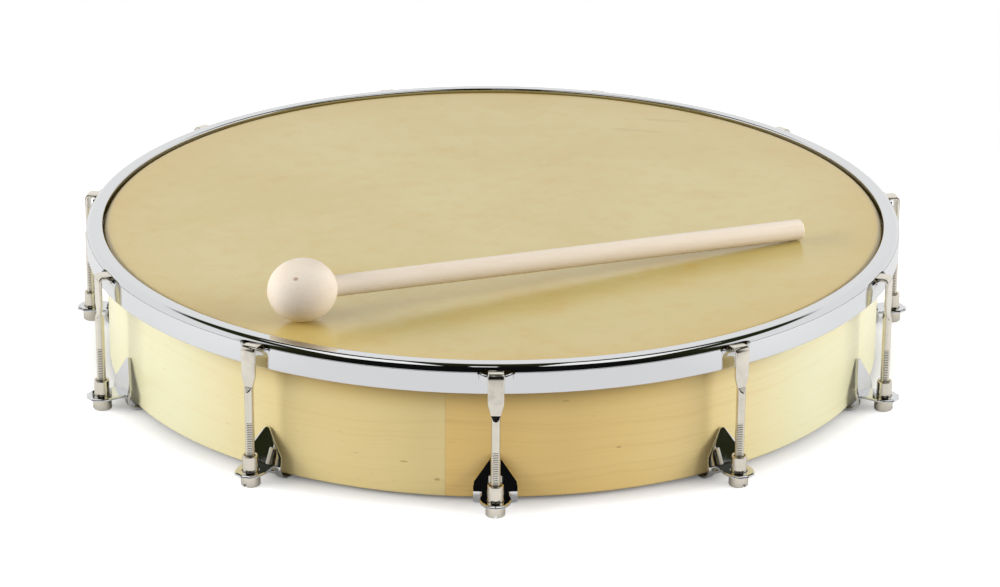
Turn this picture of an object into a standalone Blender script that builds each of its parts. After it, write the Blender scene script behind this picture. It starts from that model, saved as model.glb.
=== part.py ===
"""Tunable hand drum with a natural skin, a bent wood shell and a wooden beater lying on the skin.

Eleven tension stations pull a pressed counter hoop down over the skin. At each one a flat claw
hook enters a slot in the hoop, its round threaded rod runs down into a slotted sleeve nut, and
the nut's head bears up against the tongue of a sheet bracket that grips the shell's lower edge.
The drum stands on the heads of its nuts. Z is up, the drum's axis is the Z axis, the standing
plane is z = 0, and the first station is at the front, on -Y.
"""

import math

import bmesh
import bpy
from mathutils import Matrix, Vector

MM = 0.001

# Layout
STATIONS = 11
RING_STEPS = STATIONS * 6
SEAT_GAP = 0.3 * MM

# Shell
SHELL_RADIUS = 175.0 * MM
SHELL_THICKNESS = 6.0 * MM
SHELL_HEIGHT = 60.25 * MM
SHELL_FOOT_CLEARANCE = 1.45 * MM
BEARING_EDGE_RADIUS = 1.5 * MM
BEARING_EDGE_INNER_DROP = 2.2 * MM
SHELL_LOWER_ROUND = 0.8 * MM

# Skin and flesh hoop
SKIN_THICKNESS = 0.65 * MM
FLESH_HOOP_WIDTH = 3.8 * MM
FLESH_HOOP_HEIGHT = 3.8 * MM
FLESH_HOOP_ROUND = 0.9 * MM
SKIN_TUCK_LENGTH = 2.2 * MM

# Counter hoop
HOOP_ABOVE_SKIN = 1.3 * MM
HOOP_TOP_WIDTH = 7.3 * MM
HOOP_HEIGHT = 12.2 * MM
HOOP_SHEET = 1.6 * MM
HOOP_LEG_DROP = 3.2 * MM
HOOP_SHOULDER_RADIUS = 3.0 * MM
HOOP_INNER_EDGE_RADIUS = 0.8 * MM
HOOP_INNER_CLEARANCE = 0.2 * MM
SLOT_WIDTH = 14.2 * MM
SLOT_MARGIN = 0.45 * MM
LIP_REACH = 1.5 * MM
LIP_WIDTH = 13.0 * MM
LIP_SHEET = 1.1 * MM

# Claw hook
ROD_STANDOFF = 13.6 * MM
ROD_RADIUS = 1.95 * MM
THREAD_RADIUS = 2.0 * MM
THREAD_LENGTH = 26.0 * MM
ROD_END_HEIGHT = 3.0 * MM
STRAP_WIDTH = 6.9 * MM
STRAP_THICKNESS = 1.5 * MM
STRAP_LENGTH = 14.0 * MM
STRAP_TAPER = 6.5 * MM
CLAW_BELOW_HOOP_TOP = 1.75 * MM
CLAW_DROP = 3.2 * MM
CLAW_BEND = 1.5 * MM
STRAP_BEND = 2.0 * MM

# Sleeve nut
SLEEVE_RADIUS = 3.35 * MM
SLEEVE_LENGTH = 7.0 * MM
SLEEVE_CHAMFER = 0.5 * MM
NUT_HEAD_RADIUS = 4.15 * MM
NUT_HEAD_CHAMFER = 0.6 * MM
NUT_BORE_RADIUS = 2.3 * MM
NUT_SIDES = 12
DRIVER_SLOT_WIDTH = 1.3 * MM
DRIVER_SLOT_DEPTH = 1.7 * MM

# Bracket
BRACKET_SHEET = 1.1 * MM
BRACKET_WIDTH = 18.3 * MM
BRACKET_APEX_HEIGHT = 21.6 * MM
BRACKET_SHOULDER_HEIGHT = 9.7 * MM
BRACKET_LEAN = math.radians(9.5)
BRACKET_BEND_RADIUS = 4.8 * MM
BRACKET_FOOT_GAP = 0.25 * MM
BRACKET_LIP_BEND = 1.9 * MM
BRACKET_LIP_HEIGHT = 8.5 * MM
BRACKET_LIP_WIDTH = 15.0 * MM
WINDOW_WIDTH = 12.2 * MM
TONGUE_TOP_HEIGHT = 6.6 * MM
TONGUE_ROOT_WIDTH = 11.4 * MM
TONGUE_WIDTH = 13.2 * MM
TONGUE_SHOULDER_WIDTH = 12.0 * MM
TONGUE_NOSE_WIDTH = 8.0 * MM
TONGUE_TIP_WIDTH = 1.2 * MM
TONGUE_BEYOND_ROD = 7.0 * MM
TONGUE_SHOULDER_BACK = 4.3 * MM
TONGUE_NOSE_BACK = 1.0 * MM
TONGUE_HOLE_CLEARANCE = 0.3 * MM

# Beater
BALL_RADIUS = 13.5 * MM
BALL_HALF_LENGTH = 14.9 * MM
SHAFT_RADIUS = 4.5 * MM
SHAFT_END_RADIUS = 4.6 * MM
SHAFT_END_CHAMFER = 0.9 * MM
SHAFT_SOCKET_DEPTH = 14.0 * MM
SHAFT_LENGTH = 240.0 * MM
BALL_ACROSS = -0.4612 * SHELL_RADIUS
BALL_FORWARD = 0.7495 * SHELL_RADIUS
BEATER_HEADING = math.radians(24.3)

# Levels and radii that follow from the sizes above
shellBottom = SHELL_FOOT_CLEARANCE
shellTop = shellBottom + SHELL_HEIGHT
shellInner = SHELL_RADIUS - SHELL_THICKNESS
skinTop = shellTop + SEAT_GAP + SKIN_THICKNESS
hoopTop = skinTop + HOOP_ABOVE_SKIN
hoopInner = SHELL_RADIUS + SEAT_GAP + SKIN_THICKNESS + HOOP_INNER_CLEARANCE + SEAT_GAP
hoopOuter = hoopInner + HOOP_TOP_WIDTH
rodRadiusFromAxis = SHELL_RADIUS + ROD_STANDOFF
tongueBottom = TONGUE_TOP_HEIGHT - BRACKET_SHEET
nutHeadTop = tongueBottom - SEAT_GAP
nutTop = TONGUE_TOP_HEIGHT + SLEEVE_LENGTH
clawTop = hoopTop - CLAW_BELOW_HOOP_TOP


def clearScene():
    for obj in list(bpy.data.objects):
        bpy.data.objects.remove(obj, do_unlink=True)


def newCollection(name):
    collection = bpy.data.collections.new(name)
    bpy.context.scene.collection.children.link(collection)
    return collection


def newMaterial(name, colour, roughness, metallic):
    material = bpy.data.materials.new(name)
    material.use_nodes = True
    shader = material.node_tree.nodes["Principled BSDF"]
    shader.inputs["Base Color"].default_value = (*colour, 1.0)
    shader.inputs["Roughness"].default_value = roughness
    shader.inputs["Metallic"].default_value = metallic
    return material


def newObject(name, mesh, material, collection):
    obj = bpy.data.objects.new(name, mesh)
    mesh.materials.clear()
    mesh.materials.append(material)
    collection.objects.link(obj)
    return obj


def newCutter(name, mesh):
    cutter = bpy.data.objects.new(name, mesh)
    cutter.hide_render = True
    cutter.display_type = "WIRE"
    cutters.objects.link(cutter)
    return cutter


def smooth(mesh, angle=35.0):
    mesh.shade_smooth()
    mesh.set_sharp_from_angle(angle=math.radians(angle))


def arcPoints(centre, radius, startAngle, endAngle, count):
    """Points of an arc in the radius and height plane, both ends included. Angles in degrees."""
    points = []
    for i in range(count):
        angle = math.radians(startAngle + (endAngle - startAngle) * i / (count - 1))
        points.append(
            (centre[0] + radius * math.cos(angle), centre[1] + radius * math.sin(angle))
        )
    return points


def profileMesh(name, points, closed):
    mesh = bpy.data.meshes.new(name)
    edges = [(i, i + 1) for i in range(len(points) - 1)]
    if closed:
        edges.append((len(points) - 1, 0))
    mesh.from_pydata([(x, 0.0, z) for x, z in points], edges, [])
    return mesh


def addScrew(obj, steps):
    screw = obj.modifiers.new("turned", "SCREW")
    screw.axis = "Z"
    screw.angle = math.tau
    screw.steps = steps
    screw.render_steps = steps
    screw.use_merge_vertices = True
    screw.merge_threshold = 0.00001
    return screw


def addBoolean(obj, name, operation, other):
    boolean = obj.modifiers.new(name, "BOOLEAN")
    boolean.operation = operation
    boolean.solver = "EXACT"
    boolean.object = other


def bakedMesh(obj, name):
    """The object's evaluated mesh under a new name, and the object itself is removed."""
    graph = bpy.context.evaluated_depsgraph_get()
    mesh = bpy.data.meshes.new_from_object(obj.evaluated_get(graph))
    mesh.name = name
    bpy.data.objects.remove(obj, do_unlink=True)
    return mesh


def loftMesh(name, sections):
    """A closed skin over sections that all have the same number of points, with flat ends."""
    shape = bmesh.new()
    rings = [[shape.verts.new(point) for point in section] for section in sections]
    count = len(rings[0])
    for lower, upper in zip(rings, rings[1:]):
        for i in range(count):
            j = (i + 1) % count
            shape.faces.new((lower[i], lower[j], upper[j], upper[i]))
    shape.faces.new(list(reversed(rings[0])))
    shape.faces.new(rings[-1])
    bmesh.ops.recalc_face_normals(shape, faces=shape.faces)
    mesh = bpy.data.meshes.new(name)
    shape.to_mesh(mesh)
    shape.free()
    return mesh


def pathNormals(path):
    """A unit normal at each point of a path in the radius and height plane."""
    normals = []
    for i in range(len(path)):
        before = Vector(path[max(i - 1, 0)])
        here = Vector(path[i])
        after = Vector(path[min(i + 1, len(path) - 1)])
        first = (here - before).normalized() if i > 0 else (after - here).normalized()
        last = (after - here).normalized() if i < len(path) - 1 else first
        along = (first + last).normalized()
        stretch = 1.0 / max(along.dot(first), 0.5)
        normals.append(Vector((-along.y, along.x)) * stretch)
    return normals


def stripSections(path, widths, thicknesses):
    """Rectangular sections of a sheet strip that follows a path. The front station faces -Y."""
    sections = []
    for (radius, height), normal, width, thickness in zip(
        path, pathNormals(path), widths, thicknesses
    ):
        half = thickness / 2
        outerPoint = (radius + normal.x * half, height + normal.y * half)
        innerPoint = (radius - normal.x * half, height - normal.y * half)
        section = []
        for side, (r, z) in (
            (-0.5, outerPoint),
            (0.5, outerPoint),
            (0.5, innerPoint),
            (-0.5, innerPoint),
        ):
            section.append((side * width, -r, z))
        sections.append(section)
    return sections


def boxMesh(name, low, high):
    shape = bmesh.new()
    bmesh.ops.create_cube(shape, size=1.0)
    size = Vector(high) - Vector(low)
    centre = (Vector(high) + Vector(low)) / 2
    bmesh.ops.scale(shape, vec=size, verts=shape.verts)
    bmesh.ops.translate(shape, vec=centre, verts=shape.verts)
    mesh = bpy.data.meshes.new(name)
    shape.to_mesh(mesh)
    shape.free()
    return mesh


def cylinderMesh(name, radius, low, high, sides, centre=(0.0, 0.0)):
    shape = bmesh.new()
    bmesh.ops.create_cone(
        shape,
        cap_ends=True,
        segments=sides,
        radius1=radius,
        radius2=radius,
        depth=high - low,
    )
    bmesh.ops.translate(
        shape, vec=(centre[0], centre[1], (low + high) / 2), verts=shape.verts
    )
    mesh = bpy.data.meshes.new(name)
    shape.to_mesh(mesh)
    shape.free()
    return mesh


def aroundStations(mesh, name):
    """One mesh that holds a copy of the given one at every station."""
    shape = bmesh.new()
    for station in range(STATIONS):
        before = len(shape.verts)
        shape.from_mesh(mesh)
        shape.verts.ensure_lookup_table()
        turn = Matrix.Rotation(math.tau * station / STATIONS, 4, "Z")
        bmesh.ops.transform(shape, matrix=turn, verts=shape.verts[before:])
    joined = bpy.data.meshes.new(name)
    shape.to_mesh(joined)
    shape.free()
    return joined


def stationMatrix(station):
    return Matrix.Rotation(math.tau * station / STATIONS, 4, "Z")


def buildShell():
    edge = BEARING_EDGE_RADIUS
    low = SHELL_LOWER_ROUND
    points = arcPoints((SHELL_RADIUS - edge, shellTop - edge), edge, 90, 0, 4)
    points += arcPoints((SHELL_RADIUS - low, shellBottom + low), low, 0, -90, 2)
    points += arcPoints((shellInner + low, shellBottom + low), low, -90, -180, 2)
    points.append((shellInner, shellTop - BEARING_EDGE_INNER_DROP))
    shell = newObject("shell", profileMesh("shell", points, True), birch, drum)
    addScrew(shell, RING_STEPS)


def fleshHoopPlace():
    """Radius and height of the middle of the flesh hoop's section."""
    inner = SHELL_RADIUS + 2 * SEAT_GAP + SKIN_THICKNESS
    top = hoopTop - HOOP_SHEET - HOOP_LEG_DROP - SEAT_GAP - SKIN_THICKNESS - SEAT_GAP
    return inner + FLESH_HOOP_WIDTH / 2, top - FLESH_HOOP_HEIGHT / 2


def buildSkin():
    half = SKIN_THICKNESS / 2
    level = skinTop - half
    bend = BEARING_EDGE_RADIUS + SEAT_GAP + half
    collar = SHELL_RADIUS + SEAT_GAP + half
    middle, centre = fleshHoopPlace()
    reach = FLESH_HOOP_WIDTH / 2 + SEAT_GAP + half
    rise = FLESH_HOOP_HEIGHT / 2 + SEAT_GAP + half
    turn = FLESH_HOOP_ROUND + SEAT_GAP
    path = [(0.0, level)]
    path += arcPoints((collar - bend, level - bend), bend, 90, 0, 4)
    path.append((collar, centre + rise + turn))
    path.append((collar + turn * 0.45, centre + rise + turn * 0.12))
    path += arcPoints((middle + reach - turn, centre + rise - turn), turn, 90, 0, 2)
    path += arcPoints((middle + reach - turn, centre - rise + turn), turn, 0, -90, 2)
    tuck = middle - reach
    path += arcPoints((tuck + turn, centre - rise + turn), turn, -90, -180, 2)
    path.append((tuck, centre - rise + turn + SKIN_TUCK_LENGTH))
    skin = newObject("drumhead", profileMesh("drumhead", path, False), rawhide, drum)
    addScrew(skin, RING_STEPS)
    wall = skin.modifiers.new("skin thickness", "SOLIDIFY")
    wall.thickness = SKIN_THICKNESS
    wall.offset = 0.0
    wall.use_even_offset = True


def buildFleshHoop():
    middle, centre = fleshHoopPlace()
    halfWidth = FLESH_HOOP_WIDTH / 2
    halfHeight = FLESH_HOOP_HEIGHT / 2
    cut = FLESH_HOOP_ROUND
    points = [
        (middle + halfWidth - cut, centre + halfHeight),
        (middle + halfWidth, centre + halfHeight - cut),
        (middle + halfWidth, centre - halfHeight + cut),
        (middle + halfWidth - cut, centre - halfHeight),
        (middle - halfWidth + cut, centre - halfHeight),
        (middle - halfWidth, centre - halfHeight + cut),
        (middle - halfWidth, centre + halfHeight - cut),
        (middle - halfWidth + cut, centre + halfHeight),
    ]
    hoop = newObject("flesh_hoop", profileMesh("flesh_hoop", points, True), ash, drum)
    addScrew(hoop, RING_STEPS)


def buildCounterHoop():
    shoulder = HOOP_SHOULDER_RADIUS
    inner = HOOP_INNER_EDGE_RADIUS
    bottom = hoopTop - HOOP_HEIGHT
    legBottom = hoopTop - HOOP_SHEET - HOOP_LEG_DROP
    roof = hoopTop - HOOP_SHEET
    points = arcPoints(
        (hoopOuter - shoulder, hoopTop - shoulder), shoulder, 90, 0, 5
    )
    points.append((hoopOuter, bottom))
    points.append((hoopOuter - HOOP_SHEET, bottom))
    points.append((hoopOuter - HOOP_SHEET, roof - shoulder * 0.45))
    points.append((hoopOuter - HOOP_SHEET - shoulder * 0.4, roof))
    points.append((hoopInner + HOOP_SHEET, roof))
    points.append((hoopInner + HOOP_SHEET, legBottom))
    points.append((hoopInner, legBottom))
    points += arcPoints((hoopInner + inner, hoopTop - inner), inner, 180, 90, 3)
    hoop = newObject(
        "counter_hoop", profileMesh("counter_hoop", points, True), chrome, drum
    )
    addScrew(hoop, RING_STEPS)

    slotTop = clawTop + SLOT_MARGIN
    slotBottom = clawTop - STRAP_THICKNESS - SLOT_MARGIN
    lip = boxMesh(
        "hoop_lip",
        (-LIP_WIDTH / 2, -hoopOuter - LIP_REACH, slotBottom - LIP_SHEET),
        (LIP_WIDTH / 2, -hoopOuter + HOOP_SHEET * 0.6, slotBottom + 0.2 * MM),
    )
    shape = bmesh.new()
    shape.from_mesh(lip)
    for vert in shape.verts:
        if vert.co.y < -hoopOuter:
            vert.co.x *= 0.72
            if vert.co.z < slotBottom - LIP_SHEET / 2:
                vert.co.z += LIP_SHEET * 0.3
    shape.to_mesh(lip)
    shape.free()
    slot = boxMesh(
        "hoop_slot",
        (-SLOT_WIDTH / 2, -hoopOuter - 4 * MM, slotBottom),
        (SLOT_WIDTH / 2, -hoopOuter + HOOP_SHEET + 1.6 * MM, slotTop),
    )
    lips = newCutter("hoop_lips", aroundStations(lip, "hoop_lips"))
    slots = newCutter("hoop_slots", aroundStations(slot, "hoop_slots"))
    addBoolean(hoop, "pressed lips", "UNION", lips)
    addBoolean(hoop, "claw slots", "DIFFERENCE", slots)


def hookSection(centre, normal, width, thickness, roundness):
    """Eight points round a section: a flat strip at roundness 0 and a round rod at 1."""
    blunt = 0.82
    long = blunt + (math.cos(math.radians(22.5)) - blunt) * roundness
    short = blunt + (math.sin(math.radians(22.5)) - blunt) * roundness
    full = 1.0 + (math.cos(math.radians(22.5)) - 1.0) * roundness
    reach = full if roundness < 1.0 else long
    pattern = (
        (-short, full),
        (short, full),
        (reach, short),
        (reach, -short),
        (short, -full),
        (-short, -full),
        (-reach, -short),
        (-reach, short),
    )
    points = []
    for across, through in pattern:
        offset = through * thickness / 2
        radius = centre[0] + normal.x * offset
        height = centre[1] + normal.y * offset
        points.append((across * width / 2, -radius, height))
    return points


def buildHooks():
    half = STRAP_THICKNESS / 2
    axis = rodRadiusFromAxis
    armLevel = clawTop - half
    tip = hoopOuter - HOOP_SHEET - SEAT_GAP - half
    clawBend = CLAW_BEND - half
    strapBend = STRAP_BEND - half
    path = [(tip, clawTop - CLAW_DROP)]
    widths = [STRAP_WIDTH * 0.8]
    path += arcPoints((tip + clawBend, armLevel - clawBend), clawBend, 180, 90, 2)
    path += arcPoints((axis - strapBend, armLevel - strapBend), strapBend, 90, 0, 4)
    widths += [STRAP_WIDTH] * (len(path) - 1)
    thicknesses = [STRAP_THICKNESS] * len(path)
    rounds = [0.0] * len(path)
    strapEnd = clawTop - STRAP_LENGTH
    taperEnd = strapEnd - STRAP_TAPER
    threadTop = ROD_END_HEIGHT + THREAD_LENGTH
    threadSize = 2 * THREAD_RADIUS
    rodSize = 2 * ROD_RADIUS
    for height, width, thickness, roundness in (
        (strapEnd, STRAP_WIDTH, STRAP_THICKNESS, 0.0),
        (strapEnd - STRAP_TAPER * 0.5, STRAP_WIDTH * 0.86, STRAP_THICKNESS * 1.1, 0.0),
        (strapEnd - STRAP_TAPER * 0.85, STRAP_WIDTH * 0.68, STRAP_THICKNESS * 1.5, 0.3),
        (taperEnd, rodSize, rodSize, 1.0),
        (threadTop + 0.3 * MM, rodSize, rodSize, 1.0),
        (threadTop, threadSize, threadSize, 1.0),
        (ROD_END_HEIGHT + 0.6 * MM, threadSize, threadSize, 1.0),
        (ROD_END_HEIGHT, threadSize * 0.75, threadSize * 0.75, 1.0),
    ):
        path.append((axis, height))
        widths.append(width)
        thicknesses.append(thickness)
        rounds.append(roundness)
    normals = pathNormals(path)
    sections = []
    for place, normal, width, thickness, roundness in zip(
        path, normals, widths, thicknesses, rounds
    ):
        sections.append(hookSection(place, normal, width, thickness, roundness))
    mesh = loftMesh("hook", sections)
    mesh.transform(Matrix.Translation((0.0, axis, 0.0)))
    smooth(mesh)
    for station in range(STATIONS):
        hook = newObject(f"hook_{station + 1:02d}", mesh, nickel, drum)
        hook.matrix_world = stationMatrix(station) @ Matrix.Translation(
            (0.0, -axis, 0.0)
        )


def buildNuts():
    head = NUT_HEAD_RADIUS
    points = [
        (SLEEVE_RADIUS - SLEEVE_CHAMFER, nutTop),
        (SLEEVE_RADIUS, nutTop - SLEEVE_CHAMFER),
        (SLEEVE_RADIUS, nutHeadTop),
        (head, nutHeadTop),
        (head, NUT_HEAD_CHAMFER),
        (head - NUT_HEAD_CHAMFER, 0.0),
        (NUT_BORE_RADIUS, 0.0),
        (NUT_BORE_RADIUS, nutTop),
    ]
    plain = newObject("nut_plain", profileMesh("nut_plain", points, True), nickel, drum)
    addScrew(plain, NUT_SIDES)
    slot = boxMesh(
        "driver_slot",
        (-DRIVER_SLOT_WIDTH / 2, -2 * head, -1.0 * MM),
        (DRIVER_SLOT_WIDTH / 2, 2 * head, DRIVER_SLOT_DEPTH),
    )
    cutter = newCutter("driver_slot", slot)
    addBoolean(plain, "driver slot", "DIFFERENCE", cutter)
    mesh = bakedMesh(plain, "nut")
    smooth(mesh)
    for station in range(STATIONS):
        nut = newObject(f"nut_{station + 1:02d}", mesh, nickel, drum)
        nut.matrix_world = stationMatrix(station) @ Matrix.Translation(
            (0.0, -rodRadiusFromAxis, 0.0)
        )


def buildBrackets():
    sheet = BRACKET_SHEET
    foot = shellBottom - BRACKET_FOOT_GAP - sheet / 2
    lean = math.degrees(BRACKET_LEAN)
    bend = BRACKET_BEND_RADIUS
    bendCentre = (SHELL_RADIUS - 1.2 * MM, foot + bend)
    lipBend = BRACKET_LIP_BEND
    lipRadius = shellInner - SEAT_GAP - 0.2 * MM - sheet / 2
    lipCentre = (lipRadius + lipBend, foot + lipBend)
    corner = arcPoints(bendCentre, bend, lean, -90, 5)
    slope = math.tan(BRACKET_LEAN)

    def plateRadius(height):
        return corner[0][0] - (height - corner[0][1]) * slope

    apex = BRACKET_APEX_HEIGHT
    shoulder = BRACKET_SHOULDER_HEIGHT
    virtualApex = apex + 1.1 * MM
    path = []
    widths = []
    for height, blunt in (
        (apex, 0.85),
        (apex - 0.5 * MM, 1.0),
        (apex - 1.3 * MM, 1.0),
        (shoulder + 1.0 * MM, 0.98),
        (shoulder, 0.985),
    ):
        path.append((plateRadius(height), height))
        spread = (virtualApex - height) / (virtualApex - shoulder)
        widths.append(BRACKET_WIDTH * spread * blunt)
    path.append((plateRadius(shoulder - 1.2 * MM), shoulder - 1.2 * MM))
    widths.append(BRACKET_WIDTH)
    path += corner
    widths += [BRACKET_WIDTH] * len(corner)
    path += arcPoints(lipCentre, lipBend, -90, -180, 3)
    widths += [BRACKET_WIDTH, BRACKET_LIP_WIDTH, BRACKET_LIP_WIDTH]
    path.append((lipRadius, BRACKET_LIP_HEIGHT - 1.0 * MM))
    path.append((lipRadius, BRACKET_LIP_HEIGHT))
    widths += [BRACKET_LIP_WIDTH, BRACKET_LIP_WIDTH * 0.8]
    sections = stripSections(path, widths, [sheet] * len(path))
    plate = newObject("bracket_plate", loftMesh("bracket_plate", sections), chrome, drum)

    axis = rodRadiusFromAxis
    tip = axis + TONGUE_BEYOND_ROD
    level = TONGUE_TOP_HEIGHT - sheet / 2
    rootHeight = TONGUE_TOP_HEIGHT + 0.9 * MM
    tonguePath = [
        (plateRadius(rootHeight), rootHeight),
        (plateRadius(rootHeight) + 0.35 * MM, TONGUE_TOP_HEIGHT + 0.1 * MM),
        (plateRadius(rootHeight) + 1.1 * MM, level + 0.1 * MM),
        (plateRadius(rootHeight) + 2.2 * MM, level),
        (axis - 1.0 * MM, level),
        (tip - TONGUE_SHOULDER_BACK, level),
        (tip - TONGUE_NOSE_BACK, level),
        (tip, level),
    ]
    tongueWidths = [TONGUE_ROOT_WIDTH] * 4
    tongueWidths += [TONGUE_WIDTH, TONGUE_SHOULDER_WIDTH, TONGUE_NOSE_WIDTH, TONGUE_TIP_WIDTH]
    tongueSheets = [sheet * 0.7, sheet * 0.85] + [sheet] * 6
    tongueMesh = loftMesh(
        "bracket_tongue", stripSections(tonguePath, tongueWidths, tongueSheets)
    )
    windowMesh = boxMesh(
        "bracket_window",
        (-WINDOW_WIDTH / 2, -SHELL_RADIUS - 10 * MM, -2 * MM),
        (WINDOW_WIDTH / 2, -shellInner - 2.0 * MM, tongueBottom + 0.35 * MM),
    )
    holeMesh = cylinderMesh(
        "tongue_hole",
        SLEEVE_RADIUS + TONGUE_HOLE_CLEARANCE,
        tongueBottom - 2 * MM,
        TONGUE_TOP_HEIGHT + 2 * MM,
        NUT_SIDES,
        (0.0, -axis),
    )
    addBoolean(plate, "window", "DIFFERENCE", newCutter("bracket_window", windowMesh))
    addBoolean(plate, "tongue", "UNION", newCutter("bracket_tongue", tongueMesh))
    addBoolean(plate, "tongue hole", "DIFFERENCE", newCutter("tongue_hole", holeMesh))
    mesh = bakedMesh(plate, "bracket")
    smooth(mesh)
    for station in range(STATIONS):
        bracket = newObject(f"bracket_{station + 1:02d}", mesh, chrome, drum)
        bracket.matrix_world = stationMatrix(station)


def beaterMatrix():
    """The beater's frame: its origin at the ball's centre and +X along the shaft.

    The beater lies on its ball and on the lower rim of the shaft's free end.
    """
    ballHeight = skinTop + SEAT_GAP + BALL_RADIUS
    restLength = SHAFT_LENGTH - SHAFT_END_CHAMFER
    pitch = math.asin((BALL_RADIUS - SHAFT_END_RADIUS) / restLength)
    place = Matrix.Translation((BALL_ACROSS, -BALL_FORWARD, ballHeight))
    heading = Matrix.Rotation(BEATER_HEADING, 4, "Z")
    return place @ heading @ Matrix.Rotation(pitch, 4, "Y")


def buildBeater():
    frame = beaterMatrix() @ Matrix.Rotation(math.radians(90), 4, "Y")
    socket = BALL_HALF_LENGTH - SHAFT_SOCKET_DEPTH
    ballShape = bmesh.new()
    bmesh.ops.create_uvsphere(ballShape, u_segments=24, v_segments=14, radius=BALL_RADIUS)
    stretch = (1.0, 1.0, BALL_HALF_LENGTH / BALL_RADIUS)
    bmesh.ops.scale(ballShape, vec=stretch, verts=ballShape.verts)
    ballMesh = bpy.data.meshes.new("beater_head")
    ballShape.to_mesh(ballMesh)
    ballShape.free()
    ball = newObject("beater_head", ballMesh, beech, drum)
    mouth = BALL_HALF_LENGTH + 5 * MM
    bore = cylinderMesh("beater_socket", SHAFT_RADIUS + SEAT_GAP, socket, mouth, 16)
    cutter = newCutter("beater_socket", bore)
    addBoolean(ball, "socket", "DIFFERENCE", cutter)
    ball.matrix_world = frame
    cutter.matrix_world = frame

    start = socket + SEAT_GAP
    chamfer = SHAFT_END_CHAMFER
    rim = (SHAFT_END_RADIUS - chamfer, SHAFT_LENGTH - chamfer)
    points = [(0.0, SHAFT_LENGTH)]
    points += arcPoints(rim, chamfer, 90, 0, 3)
    points.append((SHAFT_RADIUS, start + 0.4 * MM))
    points.append((SHAFT_RADIUS - 0.4 * MM, start))
    points.append((0.0, start))
    shaft = newObject(
        "beater_shaft", profileMesh("beater_shaft", points, False), beech, drum
    )
    addScrew(shaft, 14)
    shaft.matrix_world = frame


clearScene()
drum = newCollection("hand_drum")
cutters = newCollection("hand_drum_cutters")
cutters.hide_render = True

birch = newMaterial("shell_wood", (0.72, 0.55, 0.30), 0.42, 0.0)
rawhide = newMaterial("skin", (0.66, 0.56, 0.36), 0.48, 0.0)
ash = newMaterial("flesh_hoop_wood", (0.62, 0.48, 0.30), 0.6, 0.0)
chrome = newMaterial("chrome_sheet", (0.82, 0.83, 0.84), 0.08, 1.0)
nickel = newMaterial("nickel_steel", (0.72, 0.69, 0.64), 0.2, 1.0)
beech = newMaterial("beater_wood", (0.80, 0.68, 0.50), 0.55, 0.0)

buildShell()
buildSkin()
buildFleshHoop()
buildCounterHoop()
buildHooks()
buildNuts()
buildBrackets()
buildBeater()
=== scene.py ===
import math

import bmesh
import bpy
from mathutils import Matrix, Vector


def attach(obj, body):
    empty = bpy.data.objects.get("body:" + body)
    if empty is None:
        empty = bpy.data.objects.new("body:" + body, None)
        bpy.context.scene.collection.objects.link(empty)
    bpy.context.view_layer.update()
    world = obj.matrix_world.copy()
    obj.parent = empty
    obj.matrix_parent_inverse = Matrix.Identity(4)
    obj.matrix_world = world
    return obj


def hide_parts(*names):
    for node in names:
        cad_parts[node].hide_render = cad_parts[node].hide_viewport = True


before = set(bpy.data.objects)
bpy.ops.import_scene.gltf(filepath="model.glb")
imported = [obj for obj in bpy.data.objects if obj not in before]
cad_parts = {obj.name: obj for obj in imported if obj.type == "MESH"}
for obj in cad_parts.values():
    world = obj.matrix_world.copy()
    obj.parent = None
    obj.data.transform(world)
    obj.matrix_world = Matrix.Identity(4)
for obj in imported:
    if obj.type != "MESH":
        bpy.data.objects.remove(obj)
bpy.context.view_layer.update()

# lengths below are in mm and heights are above the plane that the drum stands on
mm = 0.001
stationCount = 11
stationAngle = math.tau / stationCount
skinTop = 62.65
hoopTop = 63.95
shellRadius = 175.0
rodCircle = 188.6


class Field:
    # one socket; an expression on fields adds its Math nodes
    def __init__(self, finish, socket):
        self.finish = finish
        self.socket = socket

    def maths(self, operation, *values):
        return self.finish.add("ShaderNodeMath", {"operation": operation}, dict(enumerate(values)))

    def __add__(self, other):
        return self.maths("ADD", self, other)

    def __radd__(self, other):
        return self.maths("ADD", other, self)

    def __sub__(self, other):
        return self.maths("SUBTRACT", self, other)

    def __rsub__(self, other):
        return self.maths("SUBTRACT", other, self)

    def __mul__(self, other):
        return self.maths("MULTIPLY", self, other)

    def __rmul__(self, other):
        return self.maths("MULTIPLY", other, self)

    def __truediv__(self, other):
        return self.maths("DIVIDE", self, other)

    def __pow__(self, other):
        return self.maths("POWER", self, other)

    def larger(self, other):
        return self.maths("MAXIMUM", self, other)

    def smooth(self, start, end, low=0.0, high=1.0):
        settings = {"interpolation_type": "SMOOTHSTEP"}
        return self.finish.add(
            "ShaderNodeMapRange", settings, {0: self, 1: start, 2: end, 3: low, 4: high}
        )

    def output(self, name):
        return Field(self.finish, self.socket.node.outputs[name])


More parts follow.
